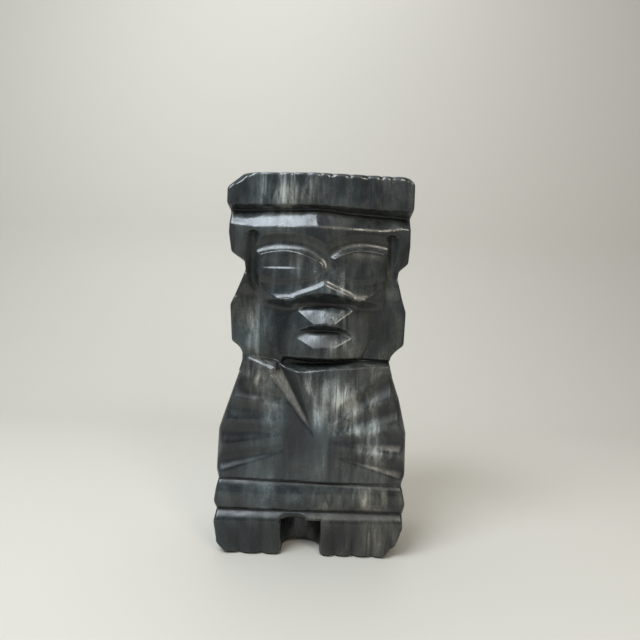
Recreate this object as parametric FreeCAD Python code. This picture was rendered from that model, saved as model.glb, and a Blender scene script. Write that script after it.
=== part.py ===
"""A carved stone idol that stands on two feet, with a felt pad under each corner.

The stone is one piece. It is sawn to a block, its sides are notched right through, and its front is then
cut with a grinding wheel. Each group of cuts is one function here, and carve_stone() makes them in order.
Units are millimetres. +X is the figure's left hand (the viewer's right), -Y is its front, +Z is up.
The origin is on the surface that it stands on, under the middle of the block.
"""
import FreeCAD, Part
import math
import os

from FreeCAD import Vector

# Driving dimensions
HEIGHT = 178.0
WIDTH = 89.0
DEPTH = 50.0
PAD_THICKNESS = 0.8
PAD_RADIUS = 6.0

# Planes of the block
FRONT = -DEPTH / 2
BACK = DEPTH / 2
TOP = HEIGHT
FOOT = PAD_THICKNESS
HALF = WIDTH / 2
CLEAR = 12.0          # how far a cutting tool reaches past the stone

# Heights of the carved bands
CROWN_FOOT = 163.0
CROWN_GROOVE = 159.5
BROW = 151.5
CHEEK_RIM = 119.5
CHIN = 92.0
NECK = 88.5
SHOULDER = 86.0
WAIST_GROOVE = 34.0
BELT_GROOVE = 20.0
TOE_TOP = 15.5

# The face is a prow: two planes that meet on a ridge. A valley parts it from the ear on each side.
RIDGE_X = 2.0
FACE_SLOPE = 0.14
CROWN_SLOPE = 0.07
FACE_LEFT = -29.7
FACE_RIGHT = 32.5
EAR_LEFT = -38.5
EAR_RIGHT = 40.5
EAR_DEPTH = 4.2
VALLEY_DEPTH = 7.5
CROWN_FLUTES = 13
FLUTE_DEPTH = 0.8

# The mouth stands out on a steeper prow
MOUTH_LEFT = -16.0
MOUTH_RIGHT = 24.0
JAW_DEPTH = 7.0

# The fans of finger grooves: side, inner end of the fan's lines, and each line's angle in degrees
FANS = (
    (-1, (-6.0, 57.0), (36, 17, 0, -20)),
    (1, (5.0, 56.0), (41, 21, -3, -21)),
)
CHEST_DEPTH = 0.4

# The gap between the feet
GAP_LEFT = -13.0
GAP_RIGHT = 5.5
GAP_TOP = 17.0
GAP_DEPTH = 17.0

# Half widths of the block at each height, from foot to crown, on the viewer's left and right
LEFT_EDGE = [
    (38.5, FOOT), (42.8, 4.5), (44.3, 14.5), (43.6, 18.5), (43.4, 20.5), (44.5, 24.0), (43.6, 31.0),
    (42.9, 34.3), (44.5, 37.5), (44.5, 56.5), (38.6, 74.5), (34.4, 89.5), (34.5, 93.5), (36.3, 96.2),
    (39.6, 98.3), (41.0, 115.5), (34.4, 132.0), (35.0, 136.5), (41.6, 140.6), (43.2, 150.0),
    (42.8, 160.0), (44.2, 164.0), (44.2, 171.5), (36.5, TOP),
]
RIGHT_EDGE = [
    (35.5, FOOT), (40.5, 6.0), (43.6, 14.0), (43.3, 19.5), (44.2, 25.5), (43.0, 31.5), (42.4, 34.0),
    (44.5, 37.5), (44.5, 57.5), (40.8, 73.5), (35.4, 88.5), (35.8, 93.0), (38.2, 96.0), (41.8, 98.8),
    (42.4, 114.5), (37.9, 130.0), (38.4, 133.8), (42.8, 137.6), (43.6, 146.0), (43.5, 160.0),
    (44.2, 164.0), (44.2, 174.8), (41.0, TOP),
]


def face_depth(x):
    """Depth of the face's two planes behind the block's front."""
    return FACE_SLOPE * abs(x - RIDGE_X)


def prism(points, vector):
    """A solid with a polygon for its end face, drawn out along a vector."""
    return Part.Face(Part.makePolygon(points + points[:1])).extrude(vector)


def plan_cut(profile, low, high):
    """Removes what stands in front of a plan profile of (x, depth) points, between two heights."""
    ahead = FRONT - CLEAR
    reach = HALF + CLEAR
    points = [Vector(-reach, ahead, low)]
    points += [Vector(x, FRONT + depth, low) for x, depth in profile]
    points += [Vector(reach, ahead, low)]
    return prism(points, Vector(0, 0, high - low))


def band_cut(profile, slope, side):
    """A cut along one half of the front: (depth, z) points, drawn out parallel to that half's plane."""
    reach = HALF + CLEAR
    ahead = [(-CLEAR, profile[-1][1]), (-CLEAR, profile[0][1])]
    points = [Vector(RIDGE_X, FRONT + depth, z) for depth, z in profile + ahead]
    return prism(points, Vector(side * reach, slope * reach, 0))


def cut_across(profile, left=-HALF - CLEAR, right=HALF + CLEAR):
    """A cut from one side to the other, with (depth, z) points for its end face."""
    points = [Vector(left, FRONT + depth, z) for depth, z in profile]
    return prism(points, Vector(right - left, 0, 0))


def vee(start, end, start_depth, end_depth, flare=1.3):
    """A V groove between two (x, z, surface depth) points; flare is its half width over its depth."""
    run = Vector(end[0] - start[0], 0, end[1] - start[1])
    across = Vector(-run.z, 0, run.x).normalize()
    ends = []
    for (x, z, surface), depth in ((start, start_depth), (end, end_depth)):
        rise = 2.0
        lip = Vector(x, FRONT + surface - rise, z)
        half = flare * (depth + rise)
        apex = Vector(x, FRONT + surface + depth, z)
        corners = [lip - across * half, apex, lip + across * half]
        ends.append(Part.makePolygon(corners + corners[:1]))
    return Part.makeLoft(ends, True, True)


def block():
    """The sawn block, with the outline cut right through it."""
    left = [Vector(-half, FRONT, z) for half, z in LEFT_EDGE]
    right = [Vector(half, FRONT, z) for half, z in reversed(RIGHT_EDGE)]
    return prism(left + right, Vector(0, DEPTH, 0))


def crown_cuts():
    """The crown's front is a shallow prow with upright flutes, and its top edge is eased."""
    reach = HALF + CLEAR
    ends = CROWN_SLOPE * reach
    cuts = [plan_cut([(-reach, ends), (0, 0), (reach, ends)], CROWN_FOOT - 1, TOP + CLEAR)]
    pitch = WIDTH / CROWN_FLUTES
    for n in range(1, CROWN_FLUTES):
        x = -HALF + n * pitch
        surface = CROWN_SLOPE * abs(x)
        cuts.append(vee((x, CROWN_FOOT - 2, surface), (x, TOP + 2, surface), FLUTE_DEPTH, FLUTE_DEPTH))
    cuts.append(cut_across([(-1.0, TOP - 3.2), (4.5, TOP + 1), (-1.0, TOP + 1)]))
    return cuts


def crown_groove_cuts():
    """Under the crown: a steep upper wall, and a broad slope that runs down to the brow."""
    brow_depth, groove_depth = 1.6, 5.2
    run = (CROWN_GROOVE - BROW) / (groove_depth - brow_depth)
    foot = (-CLEAR, BROW - (CLEAR + brow_depth) * run)
    profile = [foot, (brow_depth, BROW), (groove_depth, CROWN_GROOVE), (groove_depth, CROWN_GROOVE + 1)]
    return [band_cut(profile + [(0.8, CROWN_FOOT)], FACE_SLOPE, side) for side in (-1, 1)]


def head_cuts():
    """The face's two planes, and the valleys that part them from the ears."""
    reach = HALF + CLEAR
    profile = [
        (-reach, 6.0), (EAR_LEFT, EAR_DEPTH), ((EAR_LEFT + FACE_LEFT) / 2, VALLEY_DEPTH),
        (FACE_LEFT, face_depth(FACE_LEFT)), (RIDGE_X, 0.0), (FACE_RIGHT, face_depth(FACE_RIGHT)),
        ((EAR_RIGHT + FACE_RIGHT) / 2, VALLEY_DEPTH), (EAR_RIGHT, EAR_DEPTH), (reach, 6.0),
    ]
    return [plan_cut(profile, NECK, CROWN_FOOT)]


def eye_cuts(side):
    """Two wheel cuts, arched and hollow, leave the almond of the eye between them; a slit opens it."""
    middle = RIDGE_X + side * 16.0
    tilt = math.degrees(math.atan(FACE_SLOPE)) * side
    surface = face_depth(middle)
    cuts = []
    for top, arch, wheel, depth in ((147.0, 1, 5.0, 3.4), (126.3, -1, 7.0, 3.4)):
        radius = 23.0
        ring = Part.makeTorus(radius, wheel, Vector(0, 0, 0), Vector(0, 1, 0))
        ring.rotate(Vector(0, 0, 0), Vector(0, 0, 1), tilt)
        ring.translate(Vector(middle, FRONT + surface + depth - wheel, top - arch * radius))
        inner = RIDGE_X + side * 0.5
        outer = FACE_RIGHT + 6 if side > 0 else FACE_LEFT - 6
        window = Part.makeBox(abs(outer - inner), 2 * CLEAR, 2 * CLEAR)
        window.translate(Vector(min(inner, outer), FRONT - CLEAR, top - CLEAR))
        cuts.append(ring.common(window))
    slit = 132.7
    cuts.append(vee((middle - 7.5, slit, surface), (middle + 7.5, slit, surface), 0.9, 0.9, 0.8))
    return cuts


def jaw_cuts():
    """Below the cheeks the face steps back, and the mouth stands out on a steep prow of its own."""
    reach = HALF + CLEAR
    mouth = [
        (-reach, 7.2), (-27.0, JAW_DEPTH), (-10.0, 6.4), (-0.5, 1.4),
        (8.5, 1.4), (18.0, 6.4), (30.0, JAW_DEPTH), (reach, 7.2),
    ]
    cuts = [plan_cut(mouth, NECK, CHEEK_RIM)]
    for top_x, foot_x in ((FACE_LEFT - 2, -21.0), (FACE_RIGHT + 2, 23.0)):
        cuts.append(vee((top_x, 128.0, 5.2), (foot_x, CHIN, 6.8), 2.2, 1.2, 1.6))
    return cuts


def mouth_cuts():
    """Hollows under the nose, between the lips and under the lower lip leave two wedge lips."""
    under_nose = [(-6.0, 127.5), (1.2, 122.5), (6.6, 119.0), (6.6, 116.5), (1.4, 109.0), (-6.0, 98.5)]
    mouth_line = [(-3.0, 109.6), (4.8, 105.0), (4.8, 104.2), (1.6, 101.0), (-3.0, 96.4)]
    under_lip = [(-3.0, 101.5), (3.6, 95.8), (3.0, 93.5), (-3.0, 90.5)]
    return [cut_across(profile, MOUTH_LEFT, MOUTH_RIGHT) for profile in (under_nose, mouth_line, under_lip)]


def neck_cuts():
    """The undercut below the chin, and the sloping tops of the shoulders."""
    under_chin = [(-CLEAR, 97.0), (6.5, CHIN - 0.5), (9.0, CHIN - 1.4)]
    shoulder = [(9.0, NECK - 0.5), (1.6, SHOULDER - 0.5), (-CLEAR, 76.0)]
    return [cut_across(under_chin + shoulder)]


def chest_cuts():
    """A broad V groove from the neck to the breastbone, bevelled flanks, and the fans of finger grooves."""
    reach = HALF + CLEAR
    flank = [
        (-reach, 13.0), (-40.0, 2.6), (-36.0, 1.0), (0, CHEST_DEPTH), (36.0, 1.0), (40.0, 2.6), (reach, 13.0),
    ]
    cuts = [plan_cut(flank, WAIST_GROOVE, NECK)]
    cuts.append(vee((0.5, 57.0, CHEST_DEPTH), (-15.5, 87.0, CHEST_DEPTH), 0.6, 4.2, 1.25))
    for side, (root_x, root_z), angles in FANS:
        for angle in angles:
            lean = math.radians(angle)
            inner, outer = 8.0, 40.0 / math.cos(lean)
            start = (root_x + side * inner * math.cos(lean), root_z + inner * math.sin(lean), CHEST_DEPTH)
            end = (root_x + side * outer * math.cos(lean), root_z + outer * math.sin(lean), CHEST_DEPTH + 1)
            cuts.append(vee(start, end, 0.1, 3.2, 1.2))
    return cuts


def belt_cuts():
    """A round belt between two grooves, which run round the sides, and the slope above the toes."""
    reach = HALF + CLEAR
    corner = [(-reach, 9.0), (-HALF, 3.2), (-41.0, 0.9), (0, 0), (41.0, 0.9), (HALF, 3.2), (reach, 9.0)]
    cuts = [plan_cut(corner, FOOT - 1, WAIST_GROOVE)]
    above = [(-3.0, 37.0), (2.8, WAIST_GROOVE + 0.2), (1.0, 31.5), (0, 27.0), (-3.0, 27.0)]
    below = [(-3.0, 27.0), (0, 27.0), (1.0, 22.5), (3.2, BELT_GROOVE)]
    toe_slope = [(3.0, BELT_GROOVE - 1), (0, TOE_TOP), (-3.0, 11.5)]
    cuts += [cut_across(above), cut_across(below + toe_slope)]
    for low, high, toes in ((-HALF, GAP_LEFT, 3), (GAP_RIGHT, HALF, 4)):
        pitch = (high - low) / toes
        for n in range(1, toes):
            x = low + n * pitch
            cuts.append(vee((x, FOOT - 1, 0.2), (x, TOE_TOP - 1, 0.2), 1.1, 0.3, 1.8))
    return cuts


def gap_cut():
    """The gap between the feet, with a round back as the wheel left it."""
    width = GAP_RIGHT - GAP_LEFT
    middle = (GAP_LEFT + GAP_RIGHT) / 2
    straight = GAP_DEPTH - width / 2
    box = Part.makeBox(width, CLEAR + straight, GAP_TOP - FOOT + 1)
    box.translate(Vector(GAP_LEFT, FRONT - CLEAR, FOOT - 1))
    round_back = Part.makeCylinder(width / 2, GAP_TOP - FOOT + 1, Vector(middle, FRONT + straight, FOOT - 1))
    return box.fuse(round_back).removeSplitter()


def carve_stone():
    """All the cuts, taken from the block one after another."""
    stone = block()
    for group in (
        crown_cuts(), head_cuts(), crown_groove_cuts(), eye_cuts(-1), eye_cuts(1), jaw_cuts(), mouth_cuts(),
        neck_cuts(), chest_cuts(), belt_cuts(), [gap_cut()],
    ):
        for cutter in group:
            stone = stone.cut(cutter)
    return stone.removeSplitter()


def pad(x, y):
    """One felt disc, from the table up to the stone."""
    return Part.makeCylinder(PAD_RADIUS, PAD_THICKNESS, Vector(x, y, 0))


def build():
    """Every physical piece by name."""
    aside, front, back = 29.0, FRONT + 12.0, BACK - 10.0
    return {
        "stone_figure": carve_stone(),
        "front_left_pad": pad(-aside, front),
        "front_right_pad": pad(aside, front),
        "rear_left_pad": pad(-aside, back),
        "rear_right_pad": pad(aside, back),
    }


os.makedirs("parts", exist_ok=True)
for name, shape in build().items():
    box = shape.optimalBoundingBox(False, False)
    print(name, "valid", shape.isValid(), "solids", len(shape.Solids), "volume", round(shape.Volume),
          "x", round(box.XMin, 2), round(box.XMax, 2), "y", round(box.YMin, 2), round(box.YMax, 2),
          "z", round(box.ZMin, 2), round(box.ZMax, 2))
    shape.exportStep(f"parts/{name}.step")
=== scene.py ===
# %% [markdown]
# # A carved stone idol, made as one surface
# The real figure is one block of dark banded stone. It was sawn, notched at the sides, cut on its front
# with a grinding wheel, and polished. This lesson makes it the same way: the front is a height field, and
# each wheel cut is one small formula that says how deep the wheel went at a point (x, z). The stone that
# is left lies wherever the deepest of the cuts has reached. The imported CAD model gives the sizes.

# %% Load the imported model
import math
from collections import namedtuple

import bpy
import numpy as np
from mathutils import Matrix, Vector


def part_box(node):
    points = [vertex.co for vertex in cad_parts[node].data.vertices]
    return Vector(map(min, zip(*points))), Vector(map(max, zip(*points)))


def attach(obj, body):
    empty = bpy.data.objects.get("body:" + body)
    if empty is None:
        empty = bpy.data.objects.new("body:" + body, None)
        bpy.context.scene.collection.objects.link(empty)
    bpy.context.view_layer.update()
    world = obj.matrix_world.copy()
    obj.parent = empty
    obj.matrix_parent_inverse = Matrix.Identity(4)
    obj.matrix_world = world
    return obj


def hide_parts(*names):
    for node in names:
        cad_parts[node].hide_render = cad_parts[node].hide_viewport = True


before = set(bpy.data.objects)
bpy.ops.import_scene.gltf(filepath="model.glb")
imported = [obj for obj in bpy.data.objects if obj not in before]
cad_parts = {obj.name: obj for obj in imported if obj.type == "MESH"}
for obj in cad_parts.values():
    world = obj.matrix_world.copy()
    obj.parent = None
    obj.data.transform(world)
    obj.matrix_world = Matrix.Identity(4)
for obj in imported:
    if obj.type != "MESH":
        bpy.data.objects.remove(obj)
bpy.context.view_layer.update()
stone_low, stone_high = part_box("stone_figure")
print("stone from", tuple(stone_low), "to", tuple(stone_high))

# %% [markdown]
# ## The maker's millimetres
# Every size below is in millimetres on a figure 178 mm tall. MM turns one of them into metres on the frame
# as it was packed. x runs to the viewer's right, z up from the table, and a depth is measured back from the
# front of the sawn block.

# %% Sizes from the frame
DESIGN_HEIGHT = 178.0
MM = stone_high.z / DESIGN_HEIGHT
TOP = DESIGN_HEIGHT
FOOT = stone_low.z / MM
FRONT = stone_low.y / MM
BACK = stone_high.y / MM
HALF = stone_high.x / MM
print("one design millimetre is", round(MM * 1000, 4), "mm; the stone stands", round(FOOT, 2), "mm up")

# %% [markdown]
# ## Camera
# The figure is seen from close by, with the lens level with its cheeks and rolled a little, so the figure
# seems to lean. A level camera keeps the block's upright edges parallel.

# %% The camera
CAMERA_HEIGHT = 109.6
CAMERA_DISTANCE = 222.0
CAMERA_SIDE = 1.8
CAMERA_ROLL = -2.1
lens_data = bpy.data.cameras.new("camera")
lens_data.sensor_width = 36.0
lens_data.lens = 27.06
lens_data.clip_start = 0.01
camera = bpy.data.objects.new("camera", lens_data)
camera.location = (CAMERA_SIDE * MM, (FRONT - CAMERA_DISTANCE) * MM, CAMERA_HEIGHT * MM)
camera.rotation_euler = (math.pi / 2, math.radians(CAMERA_ROLL), 0)
bpy.context.scene.collection.objects.link(camera)
bpy.context.scene.camera = camera

# %% [markdown]
# ## The carver's tools, as formulas
# Two cuts are put together by taking the deeper one. A plain maximum would leave knife edges, so deeper()
# rounds the crease over a width, as polishing does. A wheel leaves a round-bottomed groove: its depth falls
# off with the square of the distance from the groove's line.

# %% Cut formulas
def deeper(a, b, width):
    """The larger of two depths, with the crease between them rounded over a width in millimetres."""
    share = np.clip(0.5 + 0.5 * (a - b) / width, 0, 1)
    return b + (a - b) * share + width * share * (1 - share)


def shallower(a, b, width):
    """The smaller of two depths, with the crease rounded over a width."""
    return -deeper(-a, -b, width)


def ramp(value, low, high):
    """0 at low, 1 at high, and the S curve 3t^2 - 2t^3 between them."""
    t = np.clip((value - low) / (high - low), 0, 1)
    return t * t * (3 - 2 * t)


def blend(a, b, share):
    """a where share is 0, b where it is 1."""
    return a + (b - a) * share


def rounded_distance(value, soft):
    """The size of value with its point rounded: the square root of value^2 + soft^2, less soft."""
    return np.sqrt(value * value + soft * soft) - soft


def along_line(x, z, start, end):
    """Share of the way from start to end, and the distance to the left of that line."""
    run = np.array(end, float) - np.array(start, float)
    length = float(np.hypot(*run))
    unit = run / length
    dx, dz = x - start[0], z - start[1]
    return (dx * unit[0] + dz * unit[1]) / length, dz * unit[0] - dx * unit[1]


def wheel(distance, depth, radius):
    """A round-bottomed groove: depth, less distance^2 over twice the wheel's radius."""
    return depth - distance * distance / (2 * radius)


# %% [markdown]
# ## The outline
# The side notches go right through the block, so the edge of its flat back is the whole outline. The back
# face's corner points are read from the CAD mesh and joined with straight lines. A running average then
# rounds the corners, as the polisher's belt did.

# %% Read the outline from the CAD node
cad_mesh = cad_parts["stone_figure"].data
corners = np.empty(len(cad_mesh.vertices) * 3, np.float32)
cad_mesh.vertices.foreach_get("co", corners)
corners = corners.reshape(-1, 3).astype(float) / MM
back_corners = corners[corners[:, 1] > BACK - 0.01]
OUTLINE_STEP = 0.1
OUTLINE_ROUNDING = 3.0
outline_z = np.arange(FOOT, TOP + OUTLINE_STEP / 2, OUTLINE_STEP)


def rounded_edge(side):
    """Half width at each outline height: straight lines between corner points, then a running average."""
    points = back_corners[back_corners[:, 0] * side > 0]
    points = points[np.argsort(points[:, 2])]
    width = np.interp(outline_z, points[:, 2], points[:, 0] * side)
    reach = int(OUTLINE_ROUNDING / OUTLINE_STEP / 2)
    window = np.hanning(2 * reach + 3)[1:-1]
    padded = np.pad(width, reach, mode="reflect", reflect_type="odd")
    return np.minimum(np.convolve(padded, window / window.sum(), mode="valid"), HALF)


edge_left, edge_right = rounded_edge(-1), rounded_edge(1)
print("outline from", len(back_corners), "points; half widths", edge_left.max(), edge_right.max())

# %% [markdown]
# ## The face
# The upper face is a prow: two planes that meet on a ridge down the nose, so that each half mirrors a
# different part of the room. A prow is a depth that grows with the distance from the ridge. The ridge
# leans a little, as a line cut by hand does. The lower face is a steeper prow with a flat front.

# %% Planes of the face
RIDGE_FOOT = (2.4, 124.0)
FACE_SLOPE = 0.14
MOUTH_X = 4.0
MOUTH_FLAT = 4.4
MOUTH_DEPTH = 1.4
DEEPEST_JAW = 8.6
EAR_DEPTH = 4.6
FLAP_DEPTH = 4.8
VALLEY_DEPTH = 7.8
RIM_SLOPE = 2.0
CROWN_FOOT = 162.8
CROWN_GROOVE = 160.0
BROW = 151.5
CHEEK_RIM_X = (-30, -25, -12, -7, -3, 1, 6, 11, 16, 30, 36)
CHEEK_RIM_Z = (120.3, 119.6, 118.0, 118.4, 120.2, 122.2, 121.0, 119.4, 118.6, 119.6, 120.2)


def ridge_x(z):
    """Where the ridge is at each height: it bends to the viewer's left, with the square of the height."""
    return RIDGE_FOOT[0] - 0.0031 * np.clip(z - RIDGE_FOOT[1], 0, 33) ** 2


def upper_prow(x, z):
    """Depth of the upper face: FACE_SLOPE times the distance from the ridge."""
    return FACE_SLOPE * rounded_distance(x - ridge_x(z), 0.6)


def lower_prow(x, z):
    """Depth of the lower face: level before the mouth, then sloping back, more gently by the lower lip."""
    beside = deeper(np.abs(x - MOUTH_X) - MOUTH_FLAT, 0 * x, 0.7)
    slope = blend(0.38, 0.50, ramp(z, 97, 117))
    return shallower(MOUTH_DEPTH + slope * beside, DEEPEST_JAW + 0 * x, 1.0)


def valley_x(z, side):
    """The valley beside the face: upright by the ear, then in along the jaw to the neck."""
    if side < 0:
        return np.interp(z, (90, 104, 118, 131), (-19.5, -23.5, -28.0, -31.3))
    return np.interp(z, (90, 104, 118, 131), (21.0, 27.5, 32.0, 35.0))


def face_planes(x, z):
    """Upper and lower prow with the step between them, then ears and jaw flaps beyond the valleys."""
    upper = upper_prow(x, z)
    rim = np.interp(x, CHEEK_RIM_X, CHEEK_RIM_Z)
    depth = deeper(upper, shallower(upper + (rim - z) * RIM_SLOPE, lower_prow(x, z), 4.0), 0.4)
    low = ramp(z, 128, 119)
    for side in (-1, 1):
        away = (x - valley_x(z, side)) * side
        ear = EAR_DEPTH + 0.04 * away
        flap = deeper(8.7 - 0.30 * away, FLAP_DEPTH + 0 * x, 1.5)
        depth = blend(depth, blend(ear, flap, low), ramp(away, -0.5, 0.5))
        floor = VALLEY_DEPTH - rounded_distance(away, 1.0) * (1.1 - 0.55 * low) - 9 * ramp(z, 149.5, 154.0)
        depth = deeper(depth, floor, 1.7)
    return depth


# %% [markdown]
# ## Eyes
# One hollow wheel cut runs round each eye and leaves an almond standing. Its line is an ellipse, and the
# distance to an ellipse is close to (r - 1) over the steepness of r, where r is 1 on the line. The wheel
# was larger below the eye, so the hollow of the cheek is wider than the hollow under the brow, and the two
# halves have ellipses of their own, blended at the eye's corners. The eyeball slopes back from the upper
# lid and ends on a ledge, which is the lower lid.

# %% Eye cuts
OVER_HEIGHT = 9.7
UNDER_HEIGHT = 10.8
LID_ABOVE_LEDGE = 9.4
LID_BACK = 0.75
# The ellipse's centre x and half width over the eye and under it, its centre z; the hollow's depth over
# the eye and under it, and how fast the cheek steepens; the eyeball's centre x, and its ledge's centre x,
# height and slope.
Eye = namedtuple("Eye", (
    "over_x", "over_half", "under_x", "under_half", "z", "over_depth", "depth", "steepening",
    "ball_x", "ledge_x", "ledge", "ledge_slope",
))
EYES = (
    Eye(-16.5, 20.0, -16.8, 21.8, 136.0, 3.0, 1.75, 0.0056, -14.6, -18.2, 132.5, 0.68),
    Eye(23.0, 19.5, 19.2, 18.6, 137.0, 2.3, 1.5, 0.0035, 19.6, 22.5, 133.6, 0.12),
)


def eye_cut(x, z, eye):
    """The ring cut round an eye, and the eyeball sunk behind its lids."""
    face = upper_prow(x, z)
    dz = z - eye.z
    under = ramp(-dz, -3, 5)
    dx = x - blend(eye.over_x, eye.under_x, under)
    half_x = blend(eye.over_half, eye.under_half, under)
    half_z = blend(OVER_HEIGHT, UNDER_HEIGHT, under)
    r = np.sqrt((dx / half_x) ** 2 + (dz / half_z) ** 2) + 1e-6
    steepness = np.sqrt((dx / half_x**2) ** 2 + (dz / half_z**2) ** 2) / r + 1e-6
    distance = (r - 1) / steepness
    by_nose = ramp(np.abs(x - RIDGE_FOOT[0]), 16, 5)
    cheek = blend(eye.steepening, 0.019, by_nose) * np.abs(distance) ** 3
    outside = blend(distance * distance / 6.0, cheek, under)
    inside = distance * distance / (2 * blend(5.2, 2.4, under))
    ring = face + blend(eye.over_depth, eye.depth, under) - np.where(distance > 0, outside, inside)
    off = x - eye.ball_x
    towards_nose = off * (RIDGE_FOOT[0] - eye.ball_x) > 0
    lid = eye.ledge + LID_ABOVE_LEDGE - np.where(towards_nose, 0.034, 0.010) * off * off
    ball = face + LID_BACK + 0.07 * (z - eye.ledge)
    ball = shallower(ball, face - 0.6 + (lid - z) * 1.8, 0.5)
    ball = shallower(ball, face + (z - eye.ledge) * eye.ledge_slope, 0.2)
    ball = shallower(ball, face + (14.8 - np.abs(x - eye.ledge_x)) * 0.18, 1.2)
    return deeper(deeper(ring, face + 0.3, 0.9), ball, 0.3)


# %% [markdown]
# ## Nose and mouth
# The nose is what the eye cuts leave. Below it the carver made a row of roof-like cuts across the lower
# prow: a steep wall that faces down, then a slope that faces up and forward again. Where the slope crosses
# the sides of the prow, the lip's edge rises by itself. No outline of a mouth is needed.

# %% Nose and mouth cuts
UPPER_LIP_EDGE = 107.6
LOWER_LIP_EDGE = 96.4


def roof_cut(x, z, edge, slope, top, depth, taper, radius):
    """A slope that rises forward to its edge and steepens at its top, below a wheel's wall."""
    away = (x - MOUTH_X) ** 2
    up = z - edge
    roof = MOUTH_DEPTH + up * slope + 0.012 * up * up + 0.09 * rounded_distance(x - MOUTH_X - 1.5, 0.8)
    roof = deeper(roof, MOUTH_DEPTH + up * slope + (up - 6.6) * 1.6, 0.5)
    hollow = wheel(np.clip(z - top + 0.006 * away, 0, None), depth - taper * away, radius)
    return shallower(roof, hollow, 0.7)


def nose_and_mouth(x, z):
    """The hollow under the nose with the upper lip's slope, the mouth line with the lower lip's slope."""
    upper_lip = roof_cut(x, z, UPPER_LIP_EDGE, slope=0.42, top=116.6, depth=8.2, taper=0.014, radius=2.0)
    lower_lip = roof_cut(x, z, LOWER_LIP_EDGE, slope=0.44, top=103.9, depth=6.4, taper=0.007, radius=1.0)
    return deeper(upper_lip, lower_lip, 0.3)


def nose_tip(x, z):
    """A small facet under the tip, which faces a little down and to the right."""
    return 0.14 * (RIDGE_FOOT[1] - z) + 0.072 * (x - RIDGE_FOOT[0])


def crown_prow(x):
    """Depth of the crown's shallow prow, a little steeper on the viewer's left."""
    return np.where(x < 0.5, 0.10, 0.062) * rounded_distance(x - 0.5, 2.0)


def forehead(x, z):
    """The forehead's upward slope with its two oblique corners, up to the crown's steep underside."""
    base = shallower(upper_prow(x, z), 4.5 + 0 * x, 0.5)
    _, beyond_left = along_line(x, z, (-37.5, 151.4), (-31.0, 156.2))
    _, beyond_right = along_line(x, z, (42.5, 151.2), (36.0, 157.2))
    corners_cut = 0.10 * np.clip(beyond_left, 0, None) + 0.3 * np.clip(-beyond_right, 0, None)
    slope = base + (z - BROW) * 0.42 + corners_cut
    underside = 0.6 + crown_prow(x) + (CROWN_FOOT - 0.9 * ramp(x, 0, 20) - z) * 3.0
    return shallower(slope, underside, 0.9)


# %% [markdown]
# ## Crown
# Upright lobes between narrow grooves. A lobe is a parabola across its own width. The spacing is warped
# with slow sines, because the carver spaced them by eye.

# %% Crown
CROWN_LOBES = 13


def crown(x, z):
    """A shallow prow with convex lobes, eased back at the top edge in scallops."""
    place = (x + 1.1 * np.sin(0.17 * x + 0.6) + 0.5 * np.sin(0.43 * x)) / (2 * HALF / CROWN_LOBES)
    across = (place - np.floor(place)) * 2 - 1
    strength = 0.75 + 0.25 * np.sin(1.9 * np.floor(place) + 1)
    relief = 0.7 * np.abs(across) ** 2.4 * strength
    easing = blend(0.2, 0.5 + 0.7 * across * across, ramp(x, -8, 14)) * ramp(z, TOP - 3.0, TOP + 0.5) ** 2
    _, past_corner = along_line(x, z, (-43.5, 168.8), (-34.5, 175.6))
    depth = 0.05 + crown_prow(x) + relief + easing
    return deeper(depth, 3.6 + past_corner * 0.75, 0.4)


# %% [markdown]
# ## Chest
# Fans of finger flutes run from the breastbone out to the flanks. Each is a wheel cut whose depth grows
# along its length, so that it is pointed inside and breaks through the bevel at the flank as a scallop.
# A lopsided V groove comes down from the neck between them.

# %% Chest
# start and end of each flute's line, its depth, and how wide its lower side is
FLUTES = (
    ((6.5, 63.0), (34.0, 80.5), 2.3, 1.1),
    ((8.0, 58.5), (39.5, 69.6), 2.3, 1.1),
    ((8.5, 54.2), (43.0, 54.0), 2.1, 1.0),
    ((10.5, 47.6), (43.5, 40.8), 2.2, 0.8),
    ((-9.5, 72.0), (-34.5, 76.5), 1.5, 1.0),
    ((-11.0, 65.2), (-40.0, 68.4), 1.5, 1.0),
    ((-13.0, 57.4), (-43.0, 56.0), 1.6, 0.95),
    ((-12.0, 49.6), (-43.5, 41.8), 2.2, 0.8),
)
# the V groove's walls: depth for each millimetre from its line
LEFT_WALL = 1.1
RIGHT_WALL = 0.75
FLANK_Z = (36.0, 48.0, 57.0, 64.0, 71.0, 78.0, 83.5, 88.0)
FLANK_LEFT = (42.4, 41.6, 40.6, 39.2, 37.0, 34.6, 33.4, 41.0)
FLANK_RIGHT = (42.2, 41.6, 41.2, 39.4, 37.2, 34.8, 33.6, 38.0)


def fans(x, z):
    """Depth of the flutes together: the fourth root of the sum of their fourth powers."""
    total = 0 * x
    for start, end, depth, lower_width in FLUTES:
        share, off = along_line(x, z, start, end)
        above = off if end[0] > start[0] else -off
        along = np.clip(share, 0, 1.2)
        across = np.abs(off) / ((2.4 + 4.2 * along) * np.where(above > 0, 1.0, lower_width))
        total = total + (depth * along**0.8 * np.clip(1 - across**2, 0, None) ** 2) ** 4
    return total**0.25


def flank_bevel(x, z):
    """Depth of the bevel at the flanks: 1.25 mm for each millimetre beyond the flank's line."""
    flank = np.where(x < 0, np.interp(z, FLANK_Z, FLANK_LEFT), np.interp(z, FLANK_Z, FLANK_RIGHT))
    return (np.abs(x) - flank) * 1.25


def groove_wall(x, z):
    """Share of the way up the V groove, the distance left of its line, and the groove's depth there."""
    share, off = along_line(x, z, (0.4, 57.0), (-16.5, 87.0))
    bite = 0.35 + 5.2 * np.clip(share, 0, 1.3) - 9.0 * np.clip(-share, 0, None)
    return share, off, bite


def shoulder_turn(x):
    """How far the shoulder on the viewer's left turns back: 0.22 mm for each millimetre outwards."""
    return 0.22 * np.clip(-x - 19, 0, None)


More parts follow.
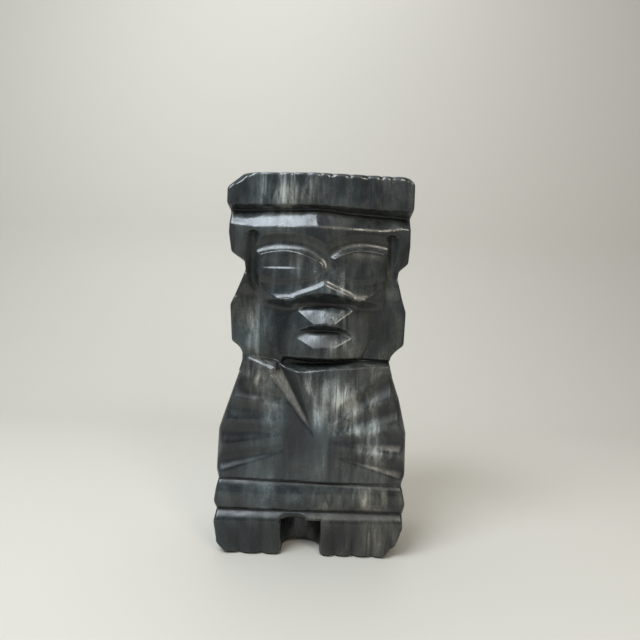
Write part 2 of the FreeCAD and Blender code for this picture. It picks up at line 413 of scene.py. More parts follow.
def chest(x, z):
    """The chest's plane, its bevelled flanks, the flutes and the V groove."""
    base = 0.45 + 0.0009 * x * x + 0.04 * np.clip(z - 72, 0, 14) + shoulder_turn(x) * ramp(z, 76, 88)
    depth = base + deeper(fans(x, z), flank_bevel(x, z), 0.8)
    _, off, bite = groove_wall(x, z)
    closing = 1.5 * np.clip(z - 84.0, 0, None) * ramp(off, 0, 2)
    fall = np.where(off > 0, off * LEFT_WALL + closing, -off * RIGHT_WALL)
    return deeper(depth, base + bite - rounded_distance(fall, 0.3), 0.5)


def shoulder_slope(x, z):
    """From the shoulders' front edge the stone slopes back, gently at first and then steeply."""
    edge = 85.4 + 3.6 * ramp(-x, 17, 32) + 1.9 * ramp(x, -8, 12) + 1.2 * ramp(x, 12, 30)
    band = 2.1 * ramp(-x, 13, 19)
    start = 1.5 + shoulder_turn(x)
    return deeper(start + (z - edge) * 0.56, start + band * 0.56 + (z - edge - band) * 2.8, 0.5)


def chin_underside(x, z, head):
    """The head's own depth, and below the chin a steep wall, which dies out in the valley on the left."""
    steep = 3.0 * ramp(x, -17, -12)
    return shallower(head + steep * np.clip(91.8 - z, 0, None), 9.6 + 0 * x, 0.8)


# %% [markdown]
# ## Belt and feet
# The belt is a round band between two grooves. Below it the stone rolls forward over the toes, and the
# toes are lobes like those of the crown, but wider, and they fade out upwards.

# %% Belt and feet
BELT_MIDDLE = 27.0
BELT_GROOVE = 20.0
TOE_TOP = 15.4
TOE_JOINTS = (-44.5, -32.0, -21.5, -12.5, 5.5, 12.2, 20.8, 29.6, 38.6, 44.5)


def belt(x, z):
    """A round band: its depth grows steeply towards its two grooves."""
    away = np.abs(z - BELT_MIDDLE - 0.3 * np.sin(x * 0.05)) / 6.6
    return 0.2 + 2.0 * np.clip(away, 0, 1.4) ** 2.2


def waist_groove(x, z):
    """A narrow V between belt and chest, a little lower on the viewer's right."""
    return 2.6 - np.abs(z - (34.5 - 1.4 * ramp(x, -40, 40))) * 2.2


def foot_groove(x, z):
    """A steep wall under the belt, then a roll over the toes, with a depth that grows as height squared."""
    up = np.clip(z - TOE_TOP + 3.0 - 0.8 * ramp(x, 5, 44), 0, None)
    roll = 0.066 * up * up - 0.5
    return shallower(3.3 - (z - BELT_GROOVE) * 2.6, roll, 0.5)


def toes(x, z):
    """Convex lobes between the toe joints, strongest at the ground."""
    joints = np.array(TOE_JOINTS)
    slot = np.clip(np.searchsorted(joints, x) - 1, 0, len(joints) - 2)
    across = 2 * (x - joints[slot]) / (joints[slot + 1] - joints[slot]) - 1
    return 0.25 + 1.5 * np.abs(across) ** 2.4 * ramp(z, 15.0, 7.0)


# %% [markdown]
# ## The gap between the feet
# A wheel was plunged in from the front: straight walls and a round back. The walls are nearly upright, so
# the depth climbs 70 mm for each millimetre inside the wall, up to the plan depth of the round back.

# %% The gap
GAP_LEFT = -13.0
GAP_RIGHT = 5.5
GAP_TOP = 16.4
GAP_DEPTH = 17.0
GAP_EASE = 1.0


def gap_inside(x, z):
    """Distance inside the gap's two walls and its ceiling."""
    return np.minimum(np.minimum(x - GAP_LEFT, GAP_RIGHT - x), GAP_TOP - z)


def gap(x, z):
    """Plan depth of the gap's round back, reached through nearly upright walls."""
    half = (GAP_RIGHT - GAP_LEFT) / 2
    middle = (GAP_RIGHT + GAP_LEFT) / 2
    back = GAP_DEPTH - half + np.sqrt(np.clip(half**2 - (x - middle) ** 2, 0, None))
    return np.minimum(back, gap_inside(x, z) * 70.0)


def gap_brow(x, z):
    """A scoop that faces down, where the ceiling's front corner has broken away on the viewer's left."""
    across = 1 - ((x + 7.4) / 6.4) ** 2
    return 0.9 + 1.2 * (19.8 - z) * across - 9 * ramp(z, 15.5, 12.5)


# %% [markdown]
# ## All the cuts together
# Each zone of the figure has its own surface, and the cuts between two zones are laid over both of them.
# The last term is the hand: a slow waviness of less than a tenth of a millimetre, which makes the
# reflections wander as they do on a piece polished by hand.

# %% The whole front
NONE = -9.0


def within(z, low, high, depth):
    """A cut that exists only between two heights."""
    return np.where((z > low) & (z < high), depth, NONE)


def carve(x, z):
    """Depth of the finished front behind the block's front plane, at every point of the grid."""
    face = face_planes(x, z)
    soft = 0.35 + 1.6 * ramp(z, 114.0, 117.0) + 0.5 * ramp(z, 103.0, 104.5) * ramp(z, 107.5, 106.0)
    face = deeper(face, within(z, 92.0, 124.0, nose_and_mouth(x, z)), soft)
    face = deeper(face, within(z, 118.5, 124.5, nose_tip(x, z) - 9 * ramp(np.abs(x - 4), 9, 12)), 0.3)
    for eye in EYES:
        window = 30 * ramp(x, -29.6, -32.0) if eye.over_x < 0 else 30 * ramp(x, 34.0, 36.4)
        apart = 30 * ramp(z, 119.6, 117.6)
        face = deeper(face, eye_cut(x, z, eye) - window - apart, 0.5)
    face = deeper(face, within(z, 149.0, 166.0, forehead(x, z)), 0.5)
    depth = np.where(z > CROWN_GROOVE, deeper(crown(x, z), forehead(x, z), 0.8), face)
    torso = np.where(z > 34.5, chest(x, z), np.where(z > BELT_GROOVE, belt(x, z), toes(x, z)))
    torso = deeper(torso, within(z, 31.0, 37.0, waist_groove(x, z)), 0.5)
    torso = deeper(torso, within(z, 11.0, 22.5, foot_groove(x, z)), 0.6)
    neck = shallower(shoulder_slope(x, z), chin_underside(x, z, depth), 0.7)
    depth = deeper(neck, within(z, -1.0, 93.0, torso), 0.6)
    ease = np.clip(gap_inside(x, z) + GAP_EASE, 0, GAP_EASE)
    depth = depth + GAP_EASE - np.sqrt(GAP_EASE**2 - ease**2)
    depth = deeper(depth, within(z, 10.0, 19.8, gap_brow(x, z)), 0.5)
    depth = np.maximum(depth, gap(x, z))
    hand = np.sin(0.21 * x + 0.13 * z) * np.sin(0.17 * z - 0.11 * x + 1.0) + 0.5 * np.sin(0.47 * x - 0.39 * z)
    return np.maximum(depth + 0.09 * hand, 0)


# %% [markdown]
# ## The grid
# The stone is one closed skin: a grid of rows up the figure and columns round it, with a flat cap at each
# end. Columns within 31 mm of the middle are upright; the outer ones bend to follow the outline, and the
# last few crowd together where the edge is rounded.

# %% Rows and columns
EDGE_EASE = 1.2
CAP_EASE = 0.9
FIXED = 31.0
NECK_ROW = 88.0
LOWER_STEP = 0.57
UPPER_STEP = 0.44
ease_turn = np.linspace(0, np.pi / 2, 7)
end_rows = CAP_EASE * (1 - np.cos(ease_turn))
wall_steps = np.array([-1.0, -0.8, -0.55, -0.3, -0.1, 0.0, 0.04, 0.12, 0.3])


def without_crowding(stations, special, room):
    """Stations with the special ones added, and the plain ones too close to a special one left out."""
    gap_to_special = np.abs(stations[:, None] - special[None, :]).min(axis=1)
    return np.unique(np.concatenate([stations[gap_to_special > room], special]))


lower_rows = np.arange(FOOT + CAP_EASE + 0.5, NECK_ROW, LOWER_STEP)
upper_rows = np.arange(NECK_ROW, TOP - CAP_EASE - 0.3, UPPER_STEP)
plain_rows = np.concatenate([lower_rows, upper_rows])
fine_rows = np.concatenate([GAP_TOP - wall_steps, np.arange(160.8, 163.6, 0.24)])
rows = without_crowding(plain_rows, np.sort(fine_rows), 0.12)
rows = np.concatenate([FOOT + end_rows, rows, TOP - end_rows[::-1]])
walls = np.concatenate([GAP_LEFT + wall_steps, GAP_RIGHT - wall_steps])
inner_columns = without_crowding(np.linspace(-FIXED, FIXED, 140), walls, 0.12)
outer_share = np.linspace(0, 1, 27)[1:]
outer_ease = EDGE_EASE * (1 - np.sin(ease_turn[1:]))
print(len(rows), "rows,", len(inner_columns), "upright columns")

# %% [markdown]
# The front's edge is eased with a quarter circle, and so are the rims of the two caps. A height of the
# outline is rounded where it meets the front: the distance to the edge, divided by the edge's slant, says
# how far round the quarter circle a point lies.

# %% The skin of the stone
def quarter_round(distance, radius):
    """How far a quarter circle of this radius falls back at a distance inside its edge."""
    inside = np.clip(radius - distance, 0, radius)
    return radius - np.sqrt(radius**2 - inside**2)


def front_columns(edge, side):
    """x of the bent columns between FIXED and the outline on one side, from the inside out."""
    edge_at = np.interp(rows, outline_z, edge)[:, None]
    plain = FIXED + (edge_at - EDGE_EASE - FIXED) * outer_share
    return side * np.concatenate([plain, edge_at - outer_ease], axis=1)


def front_surface():
    """The carved front: x, y, z and the depth of the carving at each grid point."""
    left = front_columns(edge_left, -1)[:, ::-1]
    right = front_columns(edge_right, 1)
    middle = np.broadcast_to(inner_columns, (len(rows), len(inner_columns)))
    x = np.concatenate([left, middle, right], axis=1)
    z = np.broadcast_to(rows[:, None], x.shape)
    depth = carve(x, z)
    rounded = depth
    for side, edge in ((-1, edge_left), (1, edge_right)):
        slant = np.sqrt(1 + np.interp(z, outline_z, np.gradient(edge, OUTLINE_STEP)) ** 2)
        rounded = rounded + quarter_round((np.interp(z, outline_z, edge) - side * x) / slant, EDGE_EASE)
    return x, z, rounded, depth


def side_and_back(start_x, start_y, cap, side):
    """A side wall from the front's edge to the back, then a quarter circle on to the back face."""
    ease = 2.2
    wall = np.linspace(0, 1, 9)[1:]
    turn = np.linspace(0, np.pi / 2, 7)[1:]
    end_y = BACK - ease - cap
    y = start_y + (end_y - start_y) * wall
    x = np.broadcast_to(start_x, y.shape)
    x_turn = start_x - side * ease * (1 - np.cos(turn))
    y_turn = end_y + ease * np.sin(turn)
    return np.concatenate([x, x_turn], axis=1), np.concatenate([y, y_turn], axis=1)


def stone_skin():
    """Rings of points from foot to crown: the carved front, the right side, the back, the left side."""
    x, z, rounded, depth = front_surface()
    cap = quarter_round(np.minimum(rows - FOOT, TOP - rows), CAP_EASE)[:, None]
    half = np.where(x < 0, -x[:, :1], x[:, -1:])
    x = x * (half - cap) / half
    y = FRONT + rounded + cap
    right_x, right_y = side_and_back(x[:, -1:], y[:, -1:], cap, 1)
    left_x, left_y = side_and_back(x[:, :1], y[:, :1], cap, -1)
    share = np.linspace(0, 1, 14)[1:-1]
    back_x = right_x[:, -1:] + (left_x[:, -1:] - right_x[:, -1:]) * share
    back_y = np.broadcast_to(right_y[:, -1:], back_x.shape)
    ring_x = np.concatenate([x, right_x, back_x, left_x[:, ::-1]], axis=1)
    ring_y = np.concatenate([y, right_y, back_y, left_y[:, ::-1]], axis=1)
    ring_z = np.broadcast_to(rows[:, None], ring_x.shape)
    return np.stack([ring_x, ring_y, ring_z], axis=2), depth


def closed_rings(points):
    """Quads between neighbouring rings, with the last column joined to the first, and two flat caps."""
    index = np.arange(points.shape[0] * points.shape[1]).reshape(points.shape[:2])
    beside = np.roll(index, -1, axis=1)
    quads = np.stack([index[:-1], beside[:-1], beside[1:], index[1:]], axis=2).reshape(-1, 4)
    return quads.tolist() + [index[0, ::-1].tolist(), index[-1].tolist()]


def mesh_object(name, points, faces):
    """A mesh object at the origin from points in millimetres and a list of faces."""
    mesh = bpy.data.meshes.new(name)
    mesh.from_pydata(points.reshape(-1, 3) * MM, [], faces)
    mesh.polygons.foreach_set("use_smooth", np.ones(len(mesh.polygons), bool))
    piece = bpy.data.objects.new(name, mesh)
    bpy.context.scene.collection.objects.link(piece)
    return piece


skin, carved_depth = stone_skin()
figure = mesh_object("carved_figure", skin, closed_rings(skin))
print("stone skin:", skin.shape, "about", 2 * skin.shape[0] * skin.shape[1], "triangles")
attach(figure, "root")
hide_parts("stone_figure")

# %% [markdown]
# ## Worn edges, painted shade in the hollows, and a painted highlight on the flanks
# A polishing belt rides on edges, and shade falls in grooves. How far a point stands out from the mean of
# its neighbours tells the two apart, and black is painted into the grooves as shade. Along the scalloped
# edge between the flutes and the flanks a highlight is painted as pale specks. Both numbers are kept on the
# mesh as attributes, and the finish reads them.

# %% Mark edges and hollows
def blurred(values, reach, axis):
    """A running average along one axis, with the ends repeated."""
    window = np.hanning(2 * reach + 3)[1:-1]
    window = window / window.sum()
    pad = [(0, 0), (0, 0)]
    pad[axis] = (reach, reach)
    padded = np.pad(values, pad, mode="edge")
    return np.apply_along_axis(lambda line: np.convolve(line, window, mode="valid"), axis, padded)


EDGE_REACH = 4
HOLLOW_REACH = 13
FULL_WEAR = 0.5
FULL_HOLLOW = 1.2
smooth_depth = np.clip(carved_depth, 0, 10)
front_count = smooth_depth.shape[1]
proud = blurred(blurred(smooth_depth, EDGE_REACH, 0), EDGE_REACH, 1) - smooth_depth
sunk = smooth_depth - blurred(blurred(smooth_depth, HOLLOW_REACH, 0), HOLLOW_REACH, 1)
relief = np.zeros(skin.shape[:2])
hollow = np.zeros(skin.shape[:2])
front_x, front_z = skin[:, :front_count, 0], skin[:, :front_count, 2]
# painted highlight: pale specks along the scalloped rim where the flutes meet the flank bevel
past_edge = flank_bevel(front_x, front_z) - fans(front_x, front_z)
painted_rim_highlight = 0.95 * np.exp(-((past_edge / 0.6) ** 2)) * ramp(front_z, 50, 58) * ramp(front_z, 84, 81)
relief[:, :front_count] = np.maximum(np.clip(proud / FULL_WEAR, -1, 1), painted_rim_highlight)
# painted shade: the further a point is sunk below its neighbours, the more black is painted on it
hollow[:, :front_count] = np.clip(sunk / FULL_HOLLOW, 0, 1)


def keep_on_mesh(name, values):
    """Store one number for each point, for a finish to read."""
    attribute = figure.data.attributes.new(name, "FLOAT", "POINT")
    attribute.data.foreach_set("value", values.ravel().astype(np.float32))


keep_on_mesh("relief", relief)
print("relief from", round(proud.min(), 2), "to", round(proud.max(), 2), "mm")

# %% [markdown]
# ## Where the stone is pale, with painted highlight and painted shade
# The clouds of a real block lie where they lie. Each spot here is soft: its strength falls off with the
# square of the distance, as a bell curve, and a negative strength is a dark one. Some of the spots are
# painted light and shade rather than clouds. They run through the whole block, so the back shows the same
# spots as the front.

# %% Pale and dark clouds, with painted highlight and painted shade
# x, z, half width, half height, strength
# painted highlight: the pale spots (14, 71), (25, 73), (22, 59) and (30, 48) on the right of the chest, and
# (-3, 78) and (1.5, 67) on the upper rim of the V groove's right wall; painted shade: the dark spots (-31,
# 141) and (38, 145) in the valleys beside the face, and (24, 153) and (34, 110) on the right of the forehead
# and jaw
CLOUDS_AND_PAINTED_LIGHT = (
    (-19, 170, 9, 9, 1.5), (-5, 171, 5, 7, 1.0), (-34, 168, 3, 8, -0.6), (34, 168, 9, 9, -0.7),
    (14, 71, 10, 9, 1.7), (25, 73, 9, 7, 0.9), (22, 59, 12, 5, 1.5), (30, 48, 8, 5, 1.3),
    (-27, 79, 6, 8, 1.0), (-18, 64, 4, 7, 0.7), (-36, 50, 6, 9, -1.2), (-6, 48, 11, 14, -0.7),
    (-29, 108, 4, 13, 0.6), (-16, 110, 8, 10, -0.6), (34, 110, 10, 14, -0.9), (30, 28, 9, 6, 0.8),
    (-6, 28, 5, 4, 0.5), (9, 125, 5, 6, 1.1), (11, 97, 7, 6, 0.9), (7, 111, 9, 4, 1.1),
    (-3, 99, 4, 3, 0.5), (-38, 84, 4, 6, 0.6), (-31, 141, 5, 12, -0.7), (38, 145, 5, 10, -0.7),
    (-26, 8, 16, 9, -1.2), (14, 8, 8, 9, -1.2), (26, 8, 5, 8, 0.2), (24, 153, 16, 5, -0.8),
    (-4, 66, 5, 12, -0.4), (-30, 27, 14, 5, -0.3), (-3, 78, 2.8, 8, 1.6), (1.5, 67, 2.2, 6, 1.3),
)


def soft_spots(x, z, spots):
    """Bell curves added up: the strength falls off with the square of the distance from the middle."""
    total = 0 * x
    for middle_x, middle_z, half_width, half_height, strength in spots:
        spread = ((x - middle_x) / half_width) ** 2 + ((z - middle_z) / half_height) ** 2
        total = total + strength * np.exp(-spread)
    return total


# the pale mark holds the stone's clouds together with the painted highlight and painted shade listed above
pale = soft_spots(skin[..., 0], skin[..., 2], CLOUDS_AND_PAINTED_LIGHT)
keep_on_mesh("pale", pale)
print("clouds from", round(pale.min(), 2), "to", round(pale.max(), 2))

# %% [markdown]
# ## Painted shade, and the wall left rough
# Shade is painted black where it falls: in the groove under the crown, under the brows and the eyes, under
# the nose, in the finger flutes and on the V groove's right wall. The groove's left wall was left as the
# wheel ground it, so it's lighter and has no polish. The formulas that cut them also say where they lie.

# %% Painted shade and the ground wall
# x, z, half width, half height, strength
# painted shade: black spots in the groove under the crown, under the nose, under the brows, and in and under
# the eyes
PAINTED_SHADE_SPOTS = (
    (0, 161, 44, 2.0, 0.9), (4, 118.5, 13, 3.0, 0.9), (-20, 147.5, 15, 3.0, 0.9), (22, 147.5, 14, 3.0, 0.7),
    (-15, 127.6, 14, 2.8, 0.8), (21, 129.6, 12, 3.2, 0.6), (-20, 138.6, 9, 2.0, 0.6),
    (20, 138.0, 12, 3.5, 0.5),
)
on_chest = ramp(front_z, 34.5, 36.0) * ramp(front_z, 86.0, 84.5)
share, off, bite = groove_wall(front_x, front_z)
left_width, right_width = bite / LEFT_WALL, bite / RIGHT_WALL
left_wall = ramp(off, -0.5, 0.9) * ramp(off, left_width + 0.4, left_width - 1.0)
right_wall = ramp(-off, -0.4, 1.0) * ramp(-off, right_width + 0.5, right_width - 1.5)
# painted shade in the flutes and on the V groove's right wall
shade_in_flutes = 0.62 * np.sqrt(fans(front_x, front_z))
painted_shade_here = on_chest * np.maximum(shade_in_flutes, 0.9 * right_wall * ramp(share, 0.0, 0.3))
painted_shade_here = np.maximum(painted_shade_here, np.clip(soft_spots(front_x, front_z, PAINTED_SHADE_SPOTS), 0, 1))
hollow[:, :front_count] = np.maximum(hollow[:, :front_count], painted_shade_here)
ground = np.zeros(skin.shape[:2])
ground[:, :front_count] = on_chest * ramp(share, 0.0, 0.25) * left_wall
# the hollow mark carries all this painted shade
keep_on_mesh("hollow", hollow)
keep_on_mesh("ground", ground)
print("ground wall on", int((ground > 0.5).sum()), "points")

# %% [markdown]
# ## Small helpers for the finishes
# A finish is a chain of patterns. Each helper adds one node, sets its numbers and hands back the output,
# so that a finish reads as a list of what the eye sees.

# %% Pattern helpers
def new_finish(name):
    """A node material, its nodes, its links and its Principled shader."""
    material = bpy.data.materials.new(name)
    material.use_nodes = True
    nodes = material.node_tree.nodes
    return material, nodes, material.node_tree.links, nodes["Principled BSDF"]


def stretched(nodes, links, place, scale, tilt=(0, 0, 0)):
    """Coordinates stretched and tilted, the angles in degrees."""
    node = nodes.new("ShaderNodeMapping")
    node.inputs["Scale"].default_value = scale
    node.inputs["Rotation"].default_value = [math.radians(angle) for angle in tilt]
    links.new(place, node.inputs["Vector"])
    return node.outputs["Vector"]


def clouds(nodes, links, place, per_metre, detail, roughness=0.5, distortion=0.0):
    """Cloudy noise from 0 to 1, with about this many clouds in a metre."""
    node = nodes.new("ShaderNodeTexNoise")
    node.inputs["Scale"].default_value = per_metre
    node.inputs["Detail"].default_value = detail
    node.inputs["Roughness"].default_value = roughness
    node.inputs["Distortion"].default_value = distortion
    links.new(place, node.inputs["Vector"])
    return node.outputs["Fac"]


def shades(nodes, links, factor, stops):
    """Colours along a ramp: each stop is a place and a colour."""
    node = nodes.new("ShaderNodeValToRGB")
    elements = node.color_ramp.elements
    while len(elements) < len(stops):
        elements.new(0.5)
    for element, (place, colour) in zip(elements, stops):
        element.position = place
        element.color = (*colour, 1)
    links.new(factor, node.inputs["Fac"])
    return node.outputs["Color"]


def mixed(nodes, links, factor, first, second, how="MIX"):
    """Two colours mixed by a factor; each of the three is an output or a plain value."""
    node = nodes.new("ShaderNodeMix")
    node.data_type = "RGBA"
    node.blend_type = how
    for value, socket in zip((factor, first, second), (node.inputs[0], node.inputs[6], node.inputs[7])):
        if isinstance(value, bpy.types.NodeSocket):
            links.new(value, socket)
        else:
            socket.default_value = value
    return node.outputs[2]


def sums(nodes, links, first, second, how="ADD"):
    """Arithmetic on two values; each is an output or a number."""
    node = nodes.new("ShaderNodeMath")
    node.operation = how
    for value, socket in zip((first, second), node.inputs):
        if isinstance(value, bpy.types.NodeSocket):
            links.new(value, socket)
        else:
            socket.default_value = value
    return node.outputs[0]


def stretched_range(nodes, links, value, low, high, from_low=0.0, from_high=1.0):
    """A value moved from one range to another, and held inside it."""
    node = nodes.new("ShaderNodeMapRange")
    node.inputs["From Min"].default_value = from_low
    node.inputs["From Max"].default_value = from_high
    node.inputs["To Min"].default_value = low
    node.inputs["To Max"].default_value = high
    links.new(value, node.inputs["Value"])
    return node.outputs["Result"]


def mesh_value(nodes, name):
    """A number kept on the mesh."""
    node = nodes.new("ShaderNodeAttribute")
    node.attribute_name = name
    return node.outputs["Fac"]


def bumped(nodes, links, height, strength, distance, shader):
    """Fine relief on a shader's normal."""
    node = nodes.new("ShaderNodeBump")
    node.inputs["Strength"].default_value = strength
    node.inputs["Distance"].default_value = distance
    links.new(height, node.inputs["Height"])
    links.new(node.outputs["Normal"], shader.inputs["Normal"])


# %% [markdown]
# ## Polished banded stone
# Dark grey stone with upright bands: broad clouds, then fine streaks, both stretched along the block's
# height. A second, larger cloud turns the grey a little green or brown, and a painted cast of the lights
# makes it cooler on the viewer's left and warmer on the right. Thin black veins lean across. Shade is
# painted black into the hollows, bruised edges are paler, a highlight is painted along the flanks' scalloped
# rims, and the ground wall is scratched. The gloss is high, lower where shade is painted, and lowest on the
# ground wall.

# %% The stone's colour, with its painted light and shade
STONE_GREYS = [
    (0.35, (0.010, 0.012, 0.013)), (0.45, (0.027, 0.030, 0.031)), (0.54, (0.066, 0.070, 0.069)),
    (0.64, (0.190, 0.192, 0.186)), (0.76, (0.42, 0.42, 0.40)),
]


def banded_grey(nodes, links, place):
    """Broad bands, fine streaks, grain and the marked spots, clouds with painted highlight and shade among
    them, added up, then read as greys.
    """
    tall = stretched(nodes, links, place, (1, 1, 0.4), (0, 8, 0))
    broad = clouds(nodes, links, tall, per_metre=85, detail=4, roughness=0.55, distortion=0.6)
    taller = stretched(nodes, links, place, (1, 1, 0.14), (0, 6, 0))
    streaks = clouds(nodes, links, taller, per_metre=240, detail=5, roughness=0.6, distortion=0.5)
    broad_part = sums(nodes, links, broad, 0.50, "MULTIPLY")
    streak_part = sums(nodes, links, streaks, 0.30, "MULTIPLY")
    fine = clouds(nodes, links, place, per_metre=1100, detail=3, roughness=0.7)
    grain = stretched_range(nodes, links, fine, 0.05, 0.12, from_low=0.25, from_high=0.75)
    bands = sums(nodes, links, sums(nodes, links, broad_part, streak_part), grain)
    strokes = stretched_range(nodes, links, streaks, -0.03, 0.24, from_low=0.3, from_high=0.7)
    # the pale mark brings in painted highlight and painted shade as well as clouds
    tone_and_painted_light_part = sums(nodes, links, mesh_value(nodes, "pale"), strokes, "MULTIPLY")
    return shades(nodes, links, sums(nodes, links, bands, tone_and_painted_light_part), STONE_GREYS)


def painted_light_cast(nodes, links, place):
    """A value that rises by a fifth from the viewer's left to the right: a painted cast of the cool window on
    the left and the warm lamp on the right.
    """
    node = nodes.new("ShaderNodeSeparateXYZ")
    links.new(place, node.inputs["Vector"])
    return stretched_range(nodes, links, node.outputs["X"], -0.10, 0.10, -HALF * MM, HALF * MM)


def with_tint_and_light_cast(nodes, links, place, grey):
    """A green or a brown cast from large clouds, with the painted cast of the lights added: cooler on the
    viewer's left and warmer on the right.
    """
    large = clouds(nodes, links, place, per_metre=24, detail=2)
    tint_and_light_cast = sums(nodes, links, large, painted_light_cast(nodes, links, place))
    tint_and_light_colour = shades(nodes, links, tint_and_light_cast, [(0.36, (0.84, 0.98, 1.04)), (0.64, (1.0, 0.93, 0.80))])
    return mixed(nodes, links, 1.0, grey, tint_and_light_colour, "MULTIPLY")


def with_veins(nodes, links, place, colour):
    """Thin black veins, in patches: a vein lies where a stretched cloud passes its middle value."""
    leaning = stretched(nodes, links, place, (1, 0.6, 0.07), (0, -11, 0))
    veins = clouds(nodes, links, leaning, per_metre=120, detail=2, distortion=0.15)
    vein_line = shades(nodes, links, veins, [
        (0.480, (0, 0, 0)), (0.498, (0.7, 0.7, 0.7)), (0.502, (0.7, 0.7, 0.7)), (0.520, (0, 0, 0)),
    ])
    patches = clouds(nodes, links, place, per_metre=45, detail=1)
    patch = shades(nodes, links, patches, [(0.50, (0, 0, 0)), (0.62, (1, 1, 1))])
    vein = mixed(nodes, links, 1.0, vein_line, patch, "MULTIPLY")
    return mixed(nodes, links, vein, colour, (0.010, 0.011, 0.011, 1))


# %% [markdown]
# ## Painted shade, a painted highlight, and what the carver and the years did to it
# The marks kept on the mesh say where: painted shade in the hollows, bruises on the proud edges with a
# painted highlight along the flanks' scalloped rims, and the scratched wall of the V groove. The painted
# shade and the scratched wall also change the gloss.

# %% Painted shade, bruises, painted rim highlight, scratches and gloss
def with_painted_shade(nodes, links, colour):
    """Painted shade in the hollows: black that covers up to four fifths of the stone's colour."""
    # painted shade: black mixed in wherever the hollow mark is set
    painted_shade_share = sums(nodes, links, mesh_value(nodes, "hollow"), 0.8, "MULTIPLY")
    return mixed(nodes, links, painted_shade_share, colour, (0.008, 0.009, 0.009, 1))


def with_bruises_and_rim_highlight(nodes, links, place, colour):
    """Pale specks where an edge is proud, and a painted highlight along the flanks' scalloped rims."""
    speckle = clouds(nodes, links, place, per_metre=900, detail=3, roughness=0.7)
    specks = stretched_range(nodes, links, speckle, 0, 0.6, from_low=0.56, from_high=0.74)
    # the relief mark also carries the painted rim highlight on the flanks
    relief_and_rim_highlight = mesh_value(nodes, "relief")
    proud_edge_and_rim_highlight = stretched_range(nodes, links, relief_and_rim_highlight, 0, 0.6, from_low=0.4, from_high=1.0)
    bruise_and_rim_highlight = sums(nodes, links, proud_edge_and_rim_highlight, specks, "MULTIPLY")
    return mixed(nodes, links, bruise_and_rim_highlight, colour, (0.30, 0.30, 0.29, 1))


def with_ground_wall(nodes, links, place, colour):
    """Scratches that run down the V groove's left wall."""
    down_the_wall = stretched(nodes, links, place, (1, 1, 0.1), (0, -29, 0))
    scratches = clouds(nodes, links, down_the_wall, per_metre=900, detail=3)
    scratched = shades(nodes, links, scratches, [(0.3, (0.10, 0.10, 0.09)), (0.7, (0.24, 0.23, 0.205))])
    amount = sums(nodes, links, mesh_value(nodes, "ground"), 0.85, "MULTIPLY")
    return mixed(nodes, links, amount, colour, scratched)


def gloss(nodes, links, place):
    """Roughness: a polish that wanders, duller where shade is painted in the hollows, and dullest on the
    ground wall.
    """
    wander = clouds(nodes, links, place, per_metre=260, detail=3)
    polish = stretched_range(nodes, links, wander, 0.13, 0.28, from_low=0.3, from_high=0.7)
    in_painted_shade = sums(nodes, links, mesh_value(nodes, "hollow"), 0.20, "MULTIPLY")
    unpolished = sums(nodes, links, mesh_value(nodes, "ground"), 0.35, "MULTIPLY")
    return sums(nodes, links, sums(nodes, links, polish, in_painted_shade), unpolished)


def stone_finish():
    """Banded grey stone, polished, with a ripple of a few hundredths of a millimetre."""
    material, nodes, links, shader = new_finish("polished banded stone")
    place = nodes.new("ShaderNodeTexCoord").outputs["Object"]
    colour = banded_grey(nodes, links, place)
    colour = with_tint_and_light_cast(nodes, links, place, colour)
    colour = with_veins(nodes, links, place, colour)
    colour = with_painted_shade(nodes, links, colour)
    colour = with_bruises_and_rim_highlight(nodes, links, place, colour)
    colour = with_ground_wall(nodes, links, place, colour)
    links.new(colour, shader.inputs["Base Color"])
    links.new(gloss(nodes, links, place), shader.inputs["Roughness"])
    shader.inputs["IOR"].default_value = 1.5
    tall = stretched(nodes, links, place, (1, 1, 0.5))
    ripple = clouds(nodes, links, tall, per_metre=300, detail=4, roughness=0.6)
    bumped(nodes, links, ripple, 0.36, 0.00025, shader)
    return material


figure.data.materials.append(stone_finish())

# %% [markdown]
# ## Felt pads
# Thin discs cut from felt sheet, with soft, slightly ragged edges. Each is a profile carried round a circle:
# across the lower face, up the side with a rounded shoulder, and across the upper face.

# %% Pads
def pad_points(node):
    """A disc in the CAD pad's box: its radius wavers by a few hundredths, and its rims are rounded."""
    low, high = (np.array(corner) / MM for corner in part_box(node))
    centre = (low + high) / 2
    radius = (high[0] - low[0]) / 2
    lean = np.linspace(-np.pi / 2, np.pi / 2, 9)
    rim = radius - 0.36 + 0.32 * np.cos(lean)
    height = centre[2] + (high[2] - low[2]) / 2 * np.sin(lean)
    shares = np.array([0.35, 0.7, 0.92])
    profile_r = np.concatenate([rim[0] * shares, rim, rim[-1] * shares[::-1]])
    profile_z = np.concatenate([[low[2]] * 3, height, [high[2]] * 3])
    turn = np.linspace(0, 2 * np.pi, 96, endpoint=False)
    waver = 1 - 0.004 + 0.002 * np.sin(7 * turn + low[0]) + 0.002 * np.sin(17 * turn)
    x = centre[0] + profile_r[:, None] * np.cos(turn) * waver
    y = centre[1] + profile_r[:, None] * np.sin(turn) * waver
    return np.stack([x, y, np.broadcast_to(profile_z[:, None], x.shape)], axis=2)


def felt_finish():
    """Dark pressed wool: fibres as fine clouds, in colour and in relief."""
    material, nodes, links, shader = new_finish("dark wool felt")
    place = nodes.new("ShaderNodeTexCoord").outputs["Object"]
    fibre = clouds(nodes, links, place, 1800, 5, 0.7, 1.5)
    colour = shades(nodes, links, fibre, [(0.3, (0.03, 0.034, 0.03)), (0.7, (0.11, 0.12, 0.105))])
    links.new(colour, shader.inputs["Base Color"])
    shader.inputs["Roughness"].default_value = 0.95
    shader.inputs["Sheen Weight"].default_value = 0.4
    bumped(nodes, links, fibre, 0.6, 0.0002, shader)
    return material


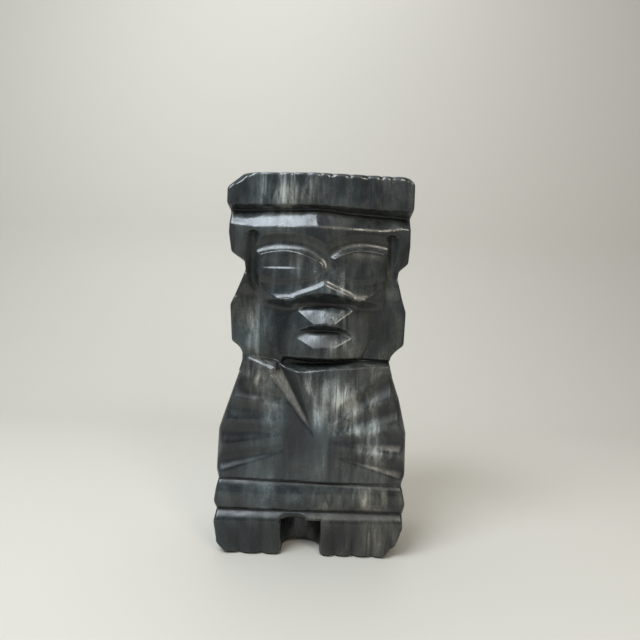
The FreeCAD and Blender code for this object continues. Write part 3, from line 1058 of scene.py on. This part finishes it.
felt = felt_finish()
for node in sorted(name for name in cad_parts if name.endswith("_pad")):
    disc_points = pad_points(node)
    disc = mesh_object("felt_" + node, disc_points, closed_rings(disc_points))
    disc.data.materials.append(felt)
    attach(disc, "root")
    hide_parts(node)

# %% [markdown]
# ## Stage and light
# A pale floor curves up into a backdrop. A cool window stands high on the left; a soft light over the lens
# and a large one overhead fill the shade, and a small warm lamp stands on the right. A polished stone shows
# its facets by what they mirror: only facets that lean up and to the left catch the window.

# %% Stage
def plain_finish(name, colour, roughness):
    """One colour, for the stage only."""
    material, _, _, shader = new_finish(name)
    shader.inputs["Base Color"].default_value = (*colour, 1)
    shader.inputs["Roughness"].default_value = roughness
    return material


FLOOR_FRONT = -2000.0
WALL_Y = 500.0
WALL_TOP = 1800.0
WALL_HALF = 2200.0
COVE_RADIUS = 250.0


def backdrop():
    """A strip whose profile is floor, quarter circle and wall, carried sideways."""
    turn = np.linspace(0, np.pi / 2, 17)
    y = np.concatenate([[FLOOR_FRONT], WALL_Y - COVE_RADIUS + COVE_RADIUS * np.sin(turn), [WALL_Y]])
    z = np.concatenate([[0.0], COVE_RADIUS - COVE_RADIUS * np.cos(turn), [WALL_TOP]])
    edges = [np.stack([np.full_like(y, side * WALL_HALF), y, z], axis=1) for side in (-1, 1)]
    points = np.stack(edges, axis=0)
    n = len(y)
    strip = [[i, n + i, n + i + 1, i + 1] for i in range(n - 1)]
    floor = mesh_object("floor", points, strip)
    floor.data.materials.append(plain_finish("pale floor", (0.58, 0.55, 0.49), 0.6))


LIGHT_DISTANCE = 900
# name, direction from the figure's middle, width and height, power in watts, colour
LIGHTS = (
    ("window", (-0.42, -0.50, 0.76), (480, 420), 8.5, (0.82, 0.91, 1.0)),
    ("ceiling", (0.05, -0.70, 0.71), (460, 260), 0.7, (1.0, 0.97, 0.92)),
    ("lamp", (0.42, -0.70, 0.58), (180, 180), 1.6, (1.0, 0.90, 0.74)),
    ("sky", (-0.1, 0.15, 0.98), (700, 500), 3.0, (0.95, 0.98, 1.0)),
)


def area_light(name, direction, size, power, colour):
    """A rectangular light in a direction from the figure's middle, facing it."""
    target = Vector((0, 0, 90)) * MM
    data = bpy.data.lights.new(name, "AREA")
    data.shape = "RECTANGLE"
    data.size, data.size_y = (side * MM for side in size)
    data.energy = power
    data.color = colour
    light = bpy.data.objects.new(name, data)
    light.location = target + Vector(direction).normalized() * LIGHT_DISTANCE * MM
    light.rotation_euler = (target - light.location).to_track_quat("-Z", "Y").to_euler()
    bpy.context.scene.collection.objects.link(light)


backdrop()
for light in LIGHTS:
    area_light(*light)
world = bpy.data.worlds.new("room")
world.use_nodes = True
world.node_tree.nodes["Background"].inputs["Color"].default_value = (0.75, 0.76, 0.78, 1)
world.node_tree.nodes["Background"].inputs["Strength"].default_value = 0.29
bpy.context.scene.world = world
bpy.context.scene.view_settings.view_transform = "Standard"
